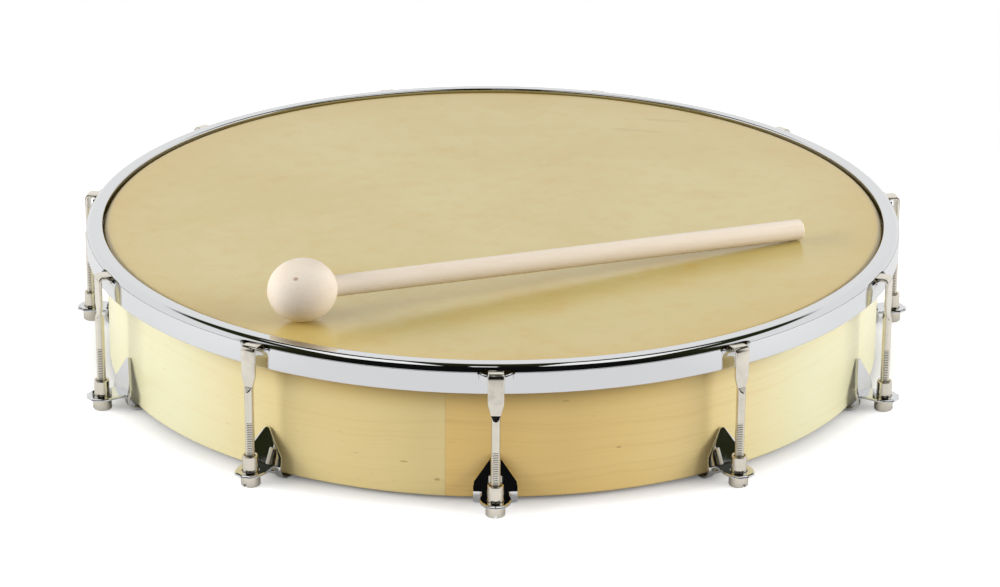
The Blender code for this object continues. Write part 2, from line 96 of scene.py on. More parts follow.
class Finish:
    # a material or world whose nodes all come from add()
    def __init__(self, tree):
        self.tree = tree

    def add(self, kind, settings=None, sockets=None, output=0):
        node = self.tree.nodes.new(kind)
        for name, value in (settings or {}).items():
            setattr(node, name, value)
        for key, value in (sockets or {}).items():
            socket = node.inputs[key]
            if isinstance(value, Field):
                self.tree.links.new(value.socket, socket)
            else:
                socket.default_value = value
        return Field(self, node.outputs[output]) if node.outputs else None

    def mix(self, factor, first, second, blend="MIX"):
        settings = {"data_type": "RGBA", "blend_type": blend}
        return self.add("ShaderNodeMix", settings, {0: factor, 6: first, 7: second}, 2)

    def noise(self, vector, scale=1.0, detail=3.0, roughness=0.5, distortion=0.0):
        sockets = {"Vector": vector, "Scale": scale, "Detail": detail, "Roughness": roughness}
        sockets["Distortion"] = distortion
        return self.add("ShaderNodeTexNoise", None, sockets, "Fac")

    def vector(self, x, y, z):
        return self.add("ShaderNodeCombineXYZ", None, {0: x, 1: y, 2: z})

    def split(self, vector):
        x = self.add("ShaderNodeSeparateXYZ", None, {0: vector})
        return x, x.output("Y"), x.output("Z")

    def place(self):
        coordinates = self.add("ShaderNodeTexCoord", None, None, "Object")
        return coordinates, *self.split(coordinates)

    def length(self, vector):
        return self.add("ShaderNodeVectorMath", {"operation": "LENGTH"}, {0: vector}, "Value")

    def mark(self, fields, centre, reach):
        # 1 in the middle of a small oval spot and 0 beyond it
        steps = [(field - c) / r for field, c, r in zip(fields, centre, reach)]
        steps += [0.0] * (3 - len(steps))
        return self.length(self.vector(*steps)).smooth(0.35, 1.0, 1.0, 0.0)

    def bump(self, height, strength, distance):
        sockets = {"Height": height, "Strength": strength, "Distance": distance}
        return self.add("ShaderNodeBump", None, sockets)


def colour(red, green, blue):
    # 0 to 255 screen values to the linear values that a shader takes
    linear = []
    for value in (red, green, blue):
        part = value / 255
        linear.append(part / 12.92 if part <= 0.04045 else ((part + 0.055) / 1.055) ** 2.4)
    return (*linear, 1.0)


def newFinish(name, base, roughness, metallic=0.0, **sockets):
    material = bpy.data.materials.new(name)
    material.use_nodes = True
    finish = Finish(material.node_tree)
    shader = material.node_tree.nodes["Principled BSDF"]
    shader.inputs["Base Color"].default_value = base
    shader.inputs["Roughness"].default_value = roughness
    shader.inputs["Metallic"].default_value = metallic
    for key, value in sockets.items():
        shader.inputs[key].default_value = value
    return material, finish, shader


def feed(finish, shader, socket, field):
    finish.tree.links.new(field.socket, shader.inputs[socket])


shellWood = {
    "body": colour(229, 204, 137), "pale": colour(233, 213, 149), "warm": colour(234, 195, 112),
    # side: the colour of the painted light on the shell's left and right, where the side lamps fall
    "side": colour(214, 211, 174), "line": colour(208, 166, 96), "pore": colour(160, 118, 66),
    # shade: the colour of the painted shade below the hoop
    "shade": colour(205, 172, 88),
    "seamAngle": -6.8,
    "seamWidth": 0.0011, "varnish": 0.5, "varnishRoughness": 0.26,
    # knots: angle from the front in degrees, height, half length and half height in mm
    "knots": ((-7.9, 9.0, 1.7, 0.8), (-12.5, 16.0, 2.4, 0.5), (17.0, 21.0, 1.6, 0.6), (9.5, 44.0, 2.2, 0.4)),
}


def makeShellWood():
    wood = shellWood
    material, finish, shader = newFinish("shellBirch", wood["body"], 0.4)
    shader.inputs["Coat Weight"].default_value = wood["varnish"]
    shader.inputs["Coat Roughness"].default_value = wood["varnishRoughness"]
    place, x, y, z = finish.place()
    # the angle round the shell, whose jump from pi to minus pi falls on the scarf joint
    seam = math.radians(wood["seamAngle"])
    across = (x * math.cos(seam) + y * math.sin(seam)) * -1.0
    along = y * math.cos(seam) - x * math.sin(seam)
    angle = finish.add("ShaderNodeMath", {"operation": "ARCTAN2"}, {0: across, 1: along})
    radius = finish.length(finish.vector(x, y, 0.0))
    run = angle * 0.175
    warp = finish.noise(finish.vector(run * 14.0, radius * 14.0, z * 30.0), 1.0, 2.0)
    level = z + warp * 0.012
    broad = finish.noise(finish.vector(run * 5.0, radius * 30.0, level * 60.0), 1.0, 3.0, 0.5, 0.4)
    streak = finish.noise(finish.vector(run * 7.0, radius * 90.0, level * 520.0), 1.0, 4.0, 0.6)
    fine = finish.noise(finish.vector(run * 50.0, radius * 600.0, level * 2600.0), 1.0, 3.0, 0.6)
    pores = finish.noise(finish.vector(run * 150.0, radius * 900.0, z * 1700.0), 1.0, 2.0)
    cloud = finish.noise(finish.vector(run * 12.0, radius * 20.0, z * 24.0), 1.0, 2.0)
    # the board's end right of the joint shows its lines and is warmer, the other end is paler
    warmEnd = angle.smooth(-math.pi, -math.pi + 0.95, 1.0, 0.0)
    paleEnd = angle.smooth(math.pi - 0.75, math.pi, 0.0, 1.0)
    tone = finish.mix(broad.smooth(0.30, 0.72) * 0.55, wood["body"], wood["pale"])
    tone = finish.mix(paleEnd * 0.65, tone, wood["pale"])
    tone = finish.mix(warmEnd * 0.8, tone, wood["warm"])
    tone = finish.mix(cloud.smooth(0.45, 0.8) * 0.25, tone, wood["warm"])
    # painted shade below the hoop: the wood turns darker and warmer towards the hoop's lower edge, from 38
    # to 50.5 mm up
    tone = finish.mix(z.smooth(0.038, 0.0505) * 0.9, tone, wood["shade"])
    # painted light: the wood turns paler and greener towards the left and right, where the side lamps fall,
    # and not at the front or the back
    facing = y * -1.0 / radius
    side = facing.smooth(0.62, 0.97, 0.95, 0.0) * facing.smooth(-0.6, -0.1)
    tone = finish.mix(side, tone, wood["side"])
    tone = finish.mix(streak.smooth(0.48, 0.74) * (0.15 + warmEnd * 0.2), tone, wood["line"])
    tone = finish.mix(fine.smooth(0.5, 0.8) * 0.12, tone, wood["line"])
    tone = finish.mix(pores.smooth(0.70, 0.80) * 0.4, tone, wood["pore"])
    for turn, height, length, tall in wood["knots"]:
        centre = math.radians(turn) - seam
        centre += -math.pi if centre > 0 else math.pi
        spot = finish.mark((angle, z), (centre, height * mm), (length / shellRadius, tall * mm))
        tone = finish.mix(spot * 0.6, tone, wood["pore"])
    outside = radius.smooth(0.172, 0.174)
    joint = angle.maths("ABSOLUTE", angle).smooth(math.pi - wood["seamWidth"] * 2, math.pi) * outside
    tone = finish.mix(joint * 0.2, tone, wood["pore"])
    feed(finish, shader, "Base Color", tone)
    feed(finish, shader, "Roughness", 0.36 + fine * 0.12)
    relief = streak * 0.5 + fine * 0.35 + pores * 0.3 - joint * 1.5
    feed(finish, shader, "Normal", finish.bump(relief, 0.07, 0.0004))
    return material


skinTone = {
    "light": colour(194, 178, 117), "mid": colour(190, 170, 101), "ochre": colour(188, 151, 65),
    "vein": colour(152, 118, 52), "roughness": 0.24, "gloss": 0.32, "glossRoughness": 0.2,
    # darker streaks: place across and forward, half length and half width, in mm
    "streaks": ((62.0, 118.0, 26.0, 3.0), (84.0, 132.0, 18.0, 2.4)),
}


def makeSkinFinish():
    material, finish, shader = newFinish("rawhideSkin", skinTone["mid"], skinTone["roughness"])
    shader.inputs["Coat Weight"].default_value = skinTone["gloss"]
    shader.inputs["Coat Roughness"].default_value = skinTone["glossRoughness"]
    place, x, y, z = finish.place()
    warp = finish.noise(place, 9.0, 2.0)
    wide = finish.noise(finish.vector(x, y * 1.3, warp * 0.06), 7.0, 4.0, 0.55, 0.8)
    patch = finish.noise(place, 20.0, 4.0, 0.6, 0.5)
    mottle = finish.noise(place, 95.0, 3.0, 0.55)
    grain = finish.noise(place, 480.0, 3.0, 0.6)
    tone = finish.mix(wide.smooth(0.34, 0.68), skinTone["light"], skinTone["mid"])
    tone = finish.mix(patch.smooth(0.50, 0.78) * 0.4, tone, skinTone["ochre"])
    tone = finish.mix(mottle.smooth(0.46, 0.72) * 0.22, tone, skinTone["ochre"])
    rim = finish.length(finish.vector(x, y, 0.0)).smooth(0.135, 0.176)
    tone = finish.mix(rim * 0.35, tone, skinTone["ochre"])
    tone = finish.mix(grain.smooth(0.55, 0.8) * 0.14, tone, skinTone["vein"])
    for across, forward, length, width in skinTone["streaks"]:
        bent = y + x * 0.18
        centre = (across * mm, (forward + across * 0.18) * mm)
        spot = finish.mark((x, bent), centre, (length * mm, width * mm))
        tone = finish.mix(spot * patch.smooth(0.3, 0.7) * 0.5, tone, skinTone["vein"])
    feed(finish, shader, "Base Color", tone)
    feed(finish, shader, "Roughness", skinTone["roughness"] - 0.03 + patch * 0.08)
    relief = grain * 0.3 + wide * 2.0 + mottle * 0.5
    feed(finish, shader, "Normal", finish.bump(relief, 0.05, 0.0003))
    return material


chromeTone = {"base": colour(215, 216, 217), "roughness": 0.03}
nickelTone = {"base": colour(223, 217, 204), "dull": colour(204, 194, 176), "roughness": 0.15}


def makeChrome():
    material, finish, shader = newFinish("mirrorChrome", chromeTone["base"], 0.04, 1.0)
    place, x, y, z = finish.place()
    haze = finish.noise(place, 120.0, 3.0)
    scratch = finish.noise(finish.vector(x * 300.0, y * 300.0, z * 3000.0), 1.0, 2.0)
    feed(finish, shader, "Roughness", chromeTone["roughness"] + haze.smooth(0.4, 0.8) * 0.04)
    feed(finish, shader, "Normal", finish.bump(scratch + haze, 0.008, 0.0002))
    return material


def makeNickel():
    material, finish, shader = newFinish("brightNickel", nickelTone["base"], 0.2, 1.0)
    place, x, y, z = finish.place()
    haze = finish.noise(place, 260.0, 3.0, 0.6)
    drawn = finish.noise(finish.vector(x * 2200.0, y * 2200.0, z * 160.0), 1.0, 2.0)
    feed(finish, shader, "Roughness", nickelTone["roughness"] + haze.smooth(0.35, 0.75) * 0.1)
    tone = finish.mix(haze.smooth(0.5, 0.85) * 0.25, nickelTone["base"], nickelTone["dull"])
    feed(finish, shader, "Base Color", tone)
    feed(finish, shader, "Normal", finish.bump(drawn + haze, 0.03, 0.0002))
    return material


beaterTone = {
    "pale": colour(225, 213, 197), "warm": colour(219, 203, 182), "ring": colour(206, 183, 152),
    "knot": colour(150, 112, 74),
    # dark grain mark: place along the shaft, across and up from the ball's centre, half sizes
    "marks": ((-6.5, -8.5, 8.6, 1.6, 1.2, 1.0),),
}


def makeBeaterWood(frameMatrix):
    material, finish, shader = newFinish("turnedBeech", beaterTone["pale"], 0.55)
    place = finish.add("ShaderNodeTexCoord", None, None, "Object")
    turned = {"Location": frameMatrix.to_translation(), "Rotation": frameMatrix.to_euler()}
    mapping = finish.add(
        "ShaderNodeMapping", {"vector_type": "TEXTURE"}, {"Vector": place, **turned}
    )
    x, y, z = finish.split(mapping)
    bend = finish.noise(mapping, 24.0, 2.0)
    layer = (y * 1.0 + z * 0.25) * 520.0 + bend * 3.0 + x * 12.0
    band = finish.add("ShaderNodeMath", {"operation": "SINE"}, {0: layer}) * 0.5 + 0.5
    streak = finish.noise(finish.vector(x * 60.0, y * 900.0, z * 900.0), 1.0, 3.0, 0.6)
    fleck = finish.noise(finish.vector(x * 260.0, y * 1500.0, z * 1500.0), 1.0, 2.0)
    tone = finish.mix(band * 0.4, beaterTone["pale"], beaterTone["warm"])
    tone = finish.mix(streak.smooth(0.5, 0.8) * 0.3, tone, beaterTone["ring"])
    tone = finish.mix(fleck.smooth(0.66, 0.78) * 0.4, tone, beaterTone["ring"])
    for mark in beaterTone["marks"]:
        centre = [value * mm for value in mark[:3]]
        spot = finish.mark((x, y, z), centre, [value * mm for value in mark[3:]])
        tone = finish.mix(spot * 0.7, tone, beaterTone["knot"])
    feed(finish, shader, "Base Color", tone)
    feed(finish, shader, "Roughness", 0.5 + streak * 0.14)
    feed(finish, shader, "Normal", finish.bump(streak + fleck, 0.1, 0.0003))
    return material


def arc(centre, radius, start, end, count):
    points = []
    for i in range(count + 1):
        angle = math.radians(start + (end - start) * i / count)
        points.append((centre[0] + radius * math.cos(angle), centre[1] + radius * math.sin(angle)))
    return points


def smoothStep(start, end, value):
    share = min(1.0, max(0.0, (value - start) / (end - start)))
    return share * share * (3 - 2 * share)


def meshFrom(shape, name):
    bmesh.ops.recalc_face_normals(shape, faces=shape.faces)
    mesh = bpy.data.meshes.new(name)
    shape.to_mesh(mesh)
    shape.free()
    return mesh


def turned(name, profile, steps, closed=True):
    # a profile of radius and height, turned about the Z axis
    shape = bmesh.new()
    points = [shape.verts.new((r * mm, 0.0, z * mm)) for r, z in profile]
    lines = [shape.edges.new(pair) for pair in zip(points, points[1:])]
    if closed:
        lines.append(shape.edges.new((points[-1], points[0])))
    bmesh.ops.spin(
        shape, geom=points + lines, cent=(0, 0, 0), axis=(0, 0, 1), angle=math.tau,
        steps=steps, use_merge=True,
    )
    bmesh.ops.remove_doubles(shape, verts=shape.verts, dist=1e-7)
    return meshFrom(shape, name)


def lofted(name, sections, closed=False):
    # a skin over rings of points, with flat ends unless the last ring meets the first
    shape = bmesh.new()
    rings = [[shape.verts.new(Vector(point) * mm) for point in ring] for ring in sections]
    count = len(rings[0])
    pairs = list(zip(rings, rings[1:]))
    if closed:
        pairs.append((rings[-1], rings[0]))
    for lower, upper in pairs:
        for i in range(count):
            j = (i + 1) % count
            shape.faces.new((lower[i], lower[j], upper[j], upper[i]))
    if not closed:
        shape.faces.new(rings[0])
        shape.faces.new(rings[-1])
    return meshFrom(shape, name)


def showPiece(name, mesh, material, sharp=32.0):
    mesh.materials.clear()
    mesh.materials.append(material)
    mesh.shade_smooth()
    mesh.set_sharp_from_angle(angle=math.radians(sharp))
    obj = bpy.data.objects.new(name, mesh)
    bpy.context.scene.collection.objects.link(obj)
    return obj


def settled(obj):
    # the object's mesh with its modifiers done, and the object gone
    graph = bpy.context.evaluated_depsgraph_get()
    mesh = bpy.data.meshes.new_from_object(obj.evaluated_get(graph))
    bpy.data.objects.remove(obj, do_unlink=True)
    return mesh


def looseObject(name, mesh):
    obj = bpy.data.objects.new(name, mesh)
    bpy.context.scene.collection.objects.link(obj)
    return obj


def cutWith(obj, cutterMesh):
    cutter = looseObject("cutter", cutterMesh)
    cut = obj.modifiers.new("cut", "BOOLEAN")
    cut.operation = "DIFFERENCE"
    cut.solver = "EXACT"
    cut.object = cutter
    mesh = settled(obj)
    bpy.data.objects.remove(cutter, do_unlink=True)
    return mesh


def atStation(mesh, station, name):
    copy = mesh.copy()
    copy.name = name
    copy.transform(Matrix.Rotation(stationAngle * station, 4, "Z"))
    return copy


shell = {"inner": 169.0, "bottom": 1.45, "top": 61.7, "edge": 1.5, "innerDrop": 2.2, "foot": 0.9}


def buildShell(material):
    edge = shell["edge"]
    foot = shell["foot"]
    profile = arc((shellRadius - edge, shell["top"] - edge), edge, 90, 0, 10)
    profile += arc((shellRadius - foot, shell["bottom"] + foot), foot, 0, -90, 6)
    profile += arc((shell["inner"] + foot, shell["bottom"] + foot), foot, -90, -180, 6)
    profile.append((shell["inner"], shell["top"] - shell["innerDrop"]))
    piece = showPiece("shellBoard", turned("shellBoard", profile, 330), material)
    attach(piece, "drum_body")
    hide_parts("shell")


skin = {"thickness": 0.65, "gap": 0.3, "edge": 1.5, "tuck": 2.2}
fleshHoop = {"width": 3.8, "height": 3.8, "round": 0.9}


def fleshHoopMiddle():
    inner = shellRadius + 2 * skin["gap"] + skin["thickness"]
    top = hoopTop - hoop["sheet"] - hoop["leg"] - 2 * skin["gap"] - skin["thickness"]
    return inner + fleshHoop["width"] / 2, top - fleshHoop["height"] / 2


def buildSkin(material):
    half = skin["thickness"] / 2
    level = skinTop - half
    bend = skin["edge"] + skin["gap"] + half
    collar = shellRadius + skin["gap"] + half
    middle, centre = fleshHoopMiddle()
    reach = fleshHoop["width"] / 2 + skin["gap"] + half
    rise = fleshHoop["height"] / 2 + skin["gap"] + half
    turn = fleshHoop["round"] + skin["gap"]
    path = [(0.0, level), (60.0, level), (120.0, level), (150.0, level), (165.0, level)]
    path += arc((collar - bend, level - bend), bend, 90, 0, 12)
    path.append((collar, centre + rise + turn))
    path.append((collar + turn * 0.45, centre + rise + turn * 0.12))
    path += arc((middle + reach - turn, centre + rise - turn), turn, 90, 0, 6)
    path += arc((middle + reach - turn, centre - rise + turn), turn, 0, -90, 6)
    tuck = middle - reach
    path += arc((tuck + turn, centre - rise + turn), turn, -90, -180, 6)
    path.append((tuck, centre - rise + turn + skin["tuck"]))
    obj = looseObject("skinSheet", turned("skinSheet", path, 330, False))
    wall = obj.modifiers.new("wall", "SOLIDIFY")
    wall.thickness = skin["thickness"] * mm
    wall.offset = 0.0
    wall.use_even_offset = True
    piece = showPiece("skinFace", settled(obj), material)
    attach(piece, "drum_body")
    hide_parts("drumhead")


def buildFleshHoop(material):
    middle, centre = fleshHoopMiddle()
    wide = fleshHoop["width"] / 2
    tall = fleshHoop["height"] / 2
    cut = fleshHoop["round"]
    profile = arc((middle + wide - cut, centre + tall - cut), cut, 90, 0, 4)
    profile += arc((middle + wide - cut, centre - tall + cut), cut, 0, -90, 4)
    profile += arc((middle - wide + cut, centre - tall + cut), cut, -90, -180, 4)
    profile += arc((middle - wide + cut, centre + tall - cut), cut, 180, 90, 4)
    piece = showPiece("skinRing", turned("skinRing", profile, 330), material)
    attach(piece, "drum_body")
    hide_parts("flesh_hoop")


hoop = {
    "inner": 176.45, "outer": 183.75, "height": 12.2, "sheet": 1.6, "shoulder": 3.0,
    "innerEdge": 0.8, "leg": 3.2, "foot": 0.3,
    # the slot's half width and levels, and the lip pressed outwards below it
    "slotHalf": 7.7, "slotTop": 62.35, "slotEnd": 61.0, "rimHalf": 6.7, "rimDip": 59.2,
    "rimEnd": 60.9, "notchAt": 7.1, "notchDip": 59.9, "lipOut": 1.6, "lipFoot": 56.4,
    "slotColumns": (
        0.0, 1.0, 2.0, 3.0, 3.8, 4.6, 5.3, 5.9, 6.3, 6.55, 6.7, 6.8, 6.9, 7.0, 7.1, 7.25, 7.45, 7.7,
    ),
    "sideColumns": (8.0, 8.5, 9.3, 10.5, 12.5), "sideSteps": 17,
}


def slotEdges(across):
    # levels of the slot's upper and lower edge; beside the slot the two all but meet
    away = abs(across)
    end = hoop["slotEnd"]
    if away >= hoop["slotHalf"]:
        return end + 0.12, end - 0.12
    bow = math.sqrt(1 - (away / hoop["slotHalf"]) ** 4)
    upper = end + 0.12 + (hoop["slotTop"] - end - 0.12) * bow
    if away <= hoop["rimHalf"]:
        rise = (away / hoop["rimHalf"]) ** 2.4
        return upper, hoop["rimDip"] + (hoop["rimEnd"] - hoop["rimDip"]) * rise
    if away <= hoop["notchAt"]:
        share = (away - hoop["rimHalf"]) / (hoop["notchAt"] - hoop["rimHalf"])
        return upper, hoop["rimEnd"] + (hoop["notchDip"] - hoop["rimEnd"]) * share
    share = (away - hoop["notchAt"]) / (hoop["slotHalf"] - hoop["notchAt"])
    return upper, hoop["notchDip"] + (end - 0.12 - hoop["notchDip"]) * share ** 0.8


def lipPush(across, level):
    # how far the sheet is pressed outwards below the slot
    away = abs(across)
    side = 1 - smoothStep(hoop["rimHalf"], hoop["notchAt"] + 0.15, away)
    crown = 1 - 0.35 * min(1.0, away / hoop["rimHalf"]) ** 2
    return hoop["lipOut"] * side * crown * smoothStep(hoop["lipFoot"], 60.6, level)


def runAt(level):
    # the way down the hoop's outer face from the start of its shoulder to a level
    shoulder = hoop["shoulder"]
    middle = hoopTop - shoulder
    if level > middle:
        return shoulder * (math.pi / 2 - math.asin((level - middle) / shoulder))
    return shoulder * math.pi / 2 + middle - level


def hoopPoints(run):
    # a point of the outer face, and the inner face's point behind it
    shoulder = hoop["shoulder"]
    inside = shoulder - hoop["sheet"]
    centre = (hoop["outer"] - shoulder, hoopTop - shoulder)
    turn = math.pi / 2 - run / shoulder
    if turn < 0:
        level = centre[1] - (run - shoulder * math.pi / 2)
        return (hoop["outer"], level), (hoop["outer"] - hoop["sheet"], level)
    across = math.cos(turn)
    up = math.sin(turn)
    outer = (centre[0] + shoulder * across, centre[1] + shoulder * up)
    return outer, (centre[0] + inside * across, centre[1] + inside * up)


def hoopColumn(across):
    # one section of the hoop, as a closed ring of radius and height
    upper, lower = slotEdges(across)
    foot = hoop["foot"]
    bottom = hoopTop - hoop["height"]
    top = runAt(upper)
    low = runAt(lower)
    end = runAt(hoop["lipFoot"])
    runs = [top * step / 13 for step in range(14)]
    runs += [low + (end - low) * share for share in (0, 0.05, 0.11, 0.2, 0.32, 0.46, 0.62, 0.8, 1)]
    runs += [runAt(54.0), runAt(bottom + foot + 0.15), runAt(bottom + foot)]
    outerRow = []
    innerRow = []
    for index, run in enumerate(runs):
        outer, inner = hoopPoints(run)
        push = lipPush(across, outer[1]) if index > 13 else 0.0
        outerRow.append((outer[0] + push, outer[1]))
        innerRow.append((inner[0] + push, inner[1]))
    inner = hoop["inner"]
    sheet = hoop["sheet"]
    edge = hoop["innerEdge"]
    leg = hoopTop - sheet - hoop["leg"]
    ring = outerRow
    ring += arc((hoop["outer"] - foot, bottom + foot), foot, -25, -90, 3)
    ring += arc((hoop["outer"] - sheet + foot, bottom + foot), foot, -90, -155, 3)
    ring += innerRow[::-1]
    ring.append((inner + sheet + 0.8, hoopTop - sheet))
    ring += arc((inner + sheet + 0.8, hoopTop - sheet - 0.8), 0.8, 120, 180, 3)
    ring += arc((inner + sheet - foot, leg + foot), foot, 0, -90, 3)
    ring += arc((inner + foot, leg + foot), foot, -90, -180, 3)
    ring += arc((inner + edge, hoopTop - edge), edge, 180, 90, 8)
    ring += [(inner + edge + 0.2, hoopTop), (hoop["outer"] - hoop["shoulder"] - 0.2, hoopTop)]
    return ring


def buildCounterHoop(material):
    side = [away for away in hoop["sideColumns"]]
    half = math.pi / stationCount * hoop["outer"]
    for step in range(1, hoop["sideSteps"] + 1):
        side.append(side[4] + (half - side[4]) * step / hoop["sideSteps"])
    right = list(hoop["slotColumns"]) + side
    columns = [-away for away in reversed(right[1:-1])] + right
    slotStart = columns.index(-hoop["slotHalf"])
    slotStop = columns.index(hoop["slotHalf"])
    sections = [hoopColumn(across) for across in columns]
    size = len(sections[0])
    gap = 13  # the slot opens between this row of the outer face and the next
    back = 14 + 9 + 3 + 8 + (14 + 9 + 3) - 1 - gap - 1  # the same gap in the inner face
    shape = bmesh.new()
    rings = []
    for station in range(stationCount):
        for index, (across, section) in enumerate(zip(columns, sections)):
            turn = stationAngle * station + across / hoop["outer"]
            out = Vector((math.sin(turn), -math.cos(turn)))
            ring = [shape.verts.new((out.x * r * mm, out.y * r * mm, z * mm)) for r, z in section]
            bead = []
            if slotStart <= index <= slotStop:
                # the lower edge's rounded bead, from the outer face to the inner one
                (r1, z1), (r2, z2) = section[gap + 1], section[back]
                for step in range(1, 6):
                    angle = math.pi * step / 6
                    r = (r1 + r2) / 2 + math.cos(angle) * (r1 - r2) / 2
                    z = (z1 + z2) / 2 + math.sin(angle) * 0.75
                    bead.append(shape.verts.new((out.x * r * mm, out.y * r * mm, z * mm)))
            rings.append((ring, bead))
    for index, (ring, bead) in enumerate(rings):
        place = index % len(columns)
        nextRing, nextBead = rings[(index + 1) % len(rings)]
        inSlot = slotStart <= place < slotStop
        for i in range(size):
            if inSlot and i in (gap, back):
                continue
            j = (i + 1) % size
            shape.faces.new((ring[i], ring[j], nextRing[j], nextRing[i]))
        if inSlot:
            shape.faces.new((ring[gap], ring[back + 1], nextRing[back + 1], nextRing[gap]))
            line = [ring[gap + 1]] + bead + [ring[back]]
            nextLine = [nextRing[gap + 1]] + nextBead + [nextRing[back]]
            for i in range(len(line) - 1):
                shape.faces.new((line[i], line[i + 1], nextLine[i + 1], nextLine[i]))
        if place in (slotStart, slotStop):
            shape.faces.new([ring[gap], ring[back + 1], ring[back]] + bead[::-1] + [ring[gap + 1]])
    piece = showPiece("hoopRing", meshFrom(shape, "hoopRing"), material)
    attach(piece, "hoop_and_hooks")
    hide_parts("counter_hoop")


hook = {
    "width": 6.85, "sheet": 1.5, "corner": 0.55, "clawTop": 62.2, "clawDrop": 3.2, "clawBend": 1.5,
    "strapBend": 2.0, "fullTo": 49.3, "neck": 4.3, "ledge": 44.4, "ledgeFoot": 42.3, "rod": 3.95,
    "threadFrom": 29.0, "thread": 4.0, "threadDeep": 0.06, "pitch": 0.8, "end": 3.0, "cornerSteps": 9,
}


def hookRing(centre, normal, width, thickness, corner, front=None, ridge=None):
    # a rounded rectangle, or a round rod where the corners take up all of it
    points = []
    steps = hook["cornerSteps"]
    sides = ((1, 1), (-1, 1), (-1, -1), (1, -1))
    for quarter, (sideways, outwards) in enumerate(sides):
        for step in range(steps):
            angle = math.radians(90 * quarter + 90 * (step + 0.5) / steps)
            across = sideways * (width / 2 - corner) + corner * math.cos(angle)
            through = outwards * (thickness / 2 - corner) + corner * math.sin(angle)
            if front is not None:
                through = max(-front, min(front, through))
            if ridge is not None:
                across *= ridge(angle)
                through *= ridge(angle)
            radius = centre[0] + normal[0] * through
            points.append((across, -radius, centre[1] + normal[1] * through))
    return points


def hookMesh():
    width = hook["width"]
    sheet = hook["sheet"]
    corner = hook["corner"]
    half = sheet / 2
    arm = hook["clawTop"] - half
    tip = hoop["outer"] - hoop["sheet"] - 0.3 - half
    clawBend = hook["clawBend"] - half
    strapBend = hook["strapBend"] - half
    sections = []
    for drop, share, thick in ((0.0, 0.62, 0.7), (0.25, 0.76, 0.9), (0.8, 0.80, 1.0)):
        centre = (tip, hook["clawTop"] - hook["clawDrop"] + drop)
        sections.append(hookRing(centre, (-1, 0), width * share, sheet * thick, 0.45))
    for angle in range(180, 89, -15):
        turn = math.radians(angle)
        normal = (math.cos(turn), math.sin(turn))
        centre = (tip + clawBend + clawBend * normal[0], arm - clawBend + clawBend * normal[1])
        wide = width * (0.8 + 0.2 * (180 - angle) / 90)
        sections.append(hookRing(centre, normal, wide, sheet, corner))
    for angle in range(90, -1, -6):
        turn = math.radians(angle)
        normal = (math.cos(turn), math.sin(turn))
        centre = (
            rodCircle - strapBend + strapBend * normal[0], arm - strapBend + strapBend * normal[1]
        )
        sections.append(hookRing(centre, normal, width, sheet, corner))
    out = (1, 0)
    ledge = hook["ledge"]
    neck = hook["neck"]
    rod = hook["rod"]
    full = hook["fullTo"]
    straps = [(arm - strapBend - 0.3, width), (full + 0.6, width), (full, width - 0.07)]
    for share in (0.12, 0.3, 0.5, 0.7, 0.9, 1.0):
        straps.append((full - (full - ledge - 0.05) * share, width - (width - neck) * share))
    for height, wide in straps:
        sections.append(hookRing((rodCircle, height), out, wide, sheet, corner))
    # the rod begins behind a slanting cut that runs down from the strap's face
    steps = 12
    for step in range(steps + 1):
        share = step / steps
        height = ledge - 0.05 - (ledge - hook["ledgeFoot"]) * share
        front = half + 0.02 + (rod / 2 - half) * share
        size = neck + (rod - neck) * min(1.0, share * 4)
        sections.append(hookRing((rodCircle, height), out, size, rod, rod / 2, front))
    for height in (hook["ledgeFoot"] - 0.3, hook["threadFrom"] + 0.4):
        sections.append(hookRing((rodCircle, height), out, rod, rod, rod / 2))
    # the rolled thread, wound on the same rings
    steps = 6
    rings = int((hook["threadFrom"] - hook["end"] - 0.6) / hook["pitch"] * steps)
    for ring in range(rings + 1):
        height = hook["threadFrom"] - ring * hook["pitch"] / steps
        fade = min(1.0, ring / steps)

        def ridge(angle, height=height, fade=fade):
            phase = (height / hook["pitch"] - angle / math.tau) % 1.0
            return 1.0 - fade * hook["threadDeep"] * (1 - min(1.0, abs(phase * 2 - 1) * 1.35))

        size = rod + (hook["thread"] - rod) * fade
        sections.append(hookRing((rodCircle, height), out, size, size, size / 2, None, ridge))
    sections.append(hookRing((rodCircle, hook["end"] + 0.35), out, 3.3, 3.3, 1.65))
    sections.append(hookRing((rodCircle, hook["end"]), out, 2.6, 2.6, 1.3))
    return lofted("hook", sections)


def buildHooks(material):
    mesh = hookMesh()
    for station in range(stationCount):
        name = f"clawHook{station + 1:02d}"
        piece = showPiece(name, atStation(mesh, station, name), material, 40)
        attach(piece, "hoop_and_hooks")
        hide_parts(f"hook_{station + 1:02d}")


nut = {
    "sleeve": 3.37, "top": 13.6, "chamfer": 0.4, "head": 4.12, "headTop": 5.2, "headRound": 0.6,
    "bore": 2.3, "slotWide": 1.3, "slotDeep": 1.7,
}


